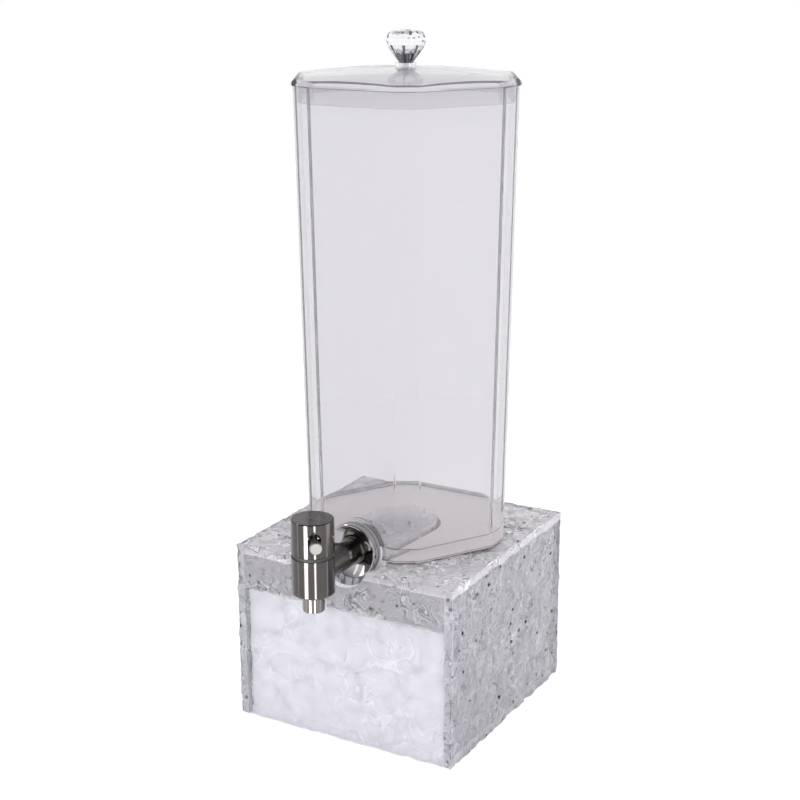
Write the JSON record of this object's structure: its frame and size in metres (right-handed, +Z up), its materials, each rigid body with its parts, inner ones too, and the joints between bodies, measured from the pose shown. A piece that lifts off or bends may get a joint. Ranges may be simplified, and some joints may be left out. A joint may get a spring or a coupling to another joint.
{
  "type": "beverage tower dispenser",
  "caption": "Clear six-sided beverage container with domed lid and cut knob, lever tap with drain well, standing on a textured box base.",
  "frame": {"origin": "centre of the base's underside, on the table", "axes": "+Z up along the container's axis, -Y towards the tap and the drinker, +X to the right of someone facing the tap"},
  "size_m": [0.2, 0.2622, 0.5535],
  "materials": {
    "ice_acrylic": "hammered clear",
    "clear_acrylic": "polished clear",
    "opal_sheet": "satin white",
    "clear_polycarbonate": "polished clear",
    "crystal": "cut and polished",
    "silicone": "translucent matte",
    "black_rubber": "matte",
    "brushed_stainless": "brushed",
    "polished_stainless": "polished",
    "guide_plastic": "moulded"
  },
  "bodies": {
    "base": {"base_top_plate": "ice_acrylic", "base_front_panel": "ice_acrylic", "base_back_panel": "ice_acrylic", "base_left_panel": "ice_acrylic", "base_right_panel": "ice_acrylic", "base_bottom_plate": "clear_acrylic", "base_front_liner": "opal_sheet"},
    "container": {"container_shell": "clear_polycarbonate", "outer_gasket": "silicone", "flange_washer": "black_rubber", "shank_flange": "polished_stainless", "tap_shank": "brushed_stainless", "inner_gasket": "silicone", "lock_nut": "polished_stainless", "tap_body": "brushed_stainless", "outlet_nozzle": "brushed_stainless", "cap_seal_ring": "black_rubber", "stem_guide": "guide_plastic", "stem_seal": "black_rubber", "valve_spring": "polished_stainless"},
    "lid": {"lid_shell": "clear_polycarbonate", "lid_knob": "crystal", "knob_collar": "clear_acrylic", "knob_washer": "silicone", "knob_screw": "polished_stainless"},
    "cap": {"tap_cap": "brushed_stainless", "lever_pivot_pin": "polished_stainless"},
    "lever": {"tap_lever": "polished_stainless", "lever_head": "polished_stainless"},
    "stem": {"valve_stem": "polished_stainless", "valve_plug": "silicone"}
  },
  "joints": [
    {"name": "container_lift", "type": "slide", "parent": "base", "child": "container", "axis": [0, 0, 1], "range_m": [0, 0.15]},
    {"name": "lid_lift", "type": "slide", "parent": "container", "child": "lid", "axis": [0, 0, 1], "range_m": [0, 0.12]},
    {"name": "cap_swivel", "type": "hinge", "parent": "container", "child": "cap", "pos_m": [0, -0.1372, 0.1885], "axis": [0, 0, 1], "continuous": true},
    {"name": "lever_tilt", "type": "hinge", "parent": "cap", "child": "lever", "pos_m": [0.00369, -0.14193, 0.1885], "axis": [0.788, 0.6157, 0], "range_deg": [0, 15], "stiffness_Nm_per_rad": 0.1, "springref_deg": -14.32},
    {"name": "stem_lift", "type": "slide", "parent": "cap", "child": "stem", "axis": [0, 0, 1], "range_m": [0, 0.0016], "deforming": ["valve_spring"]}
  ],
  "couplings": [
    {"joint": "stem_lift", "follows": "lever_tilt", "m_per_rad": 0.006}
  ]
}
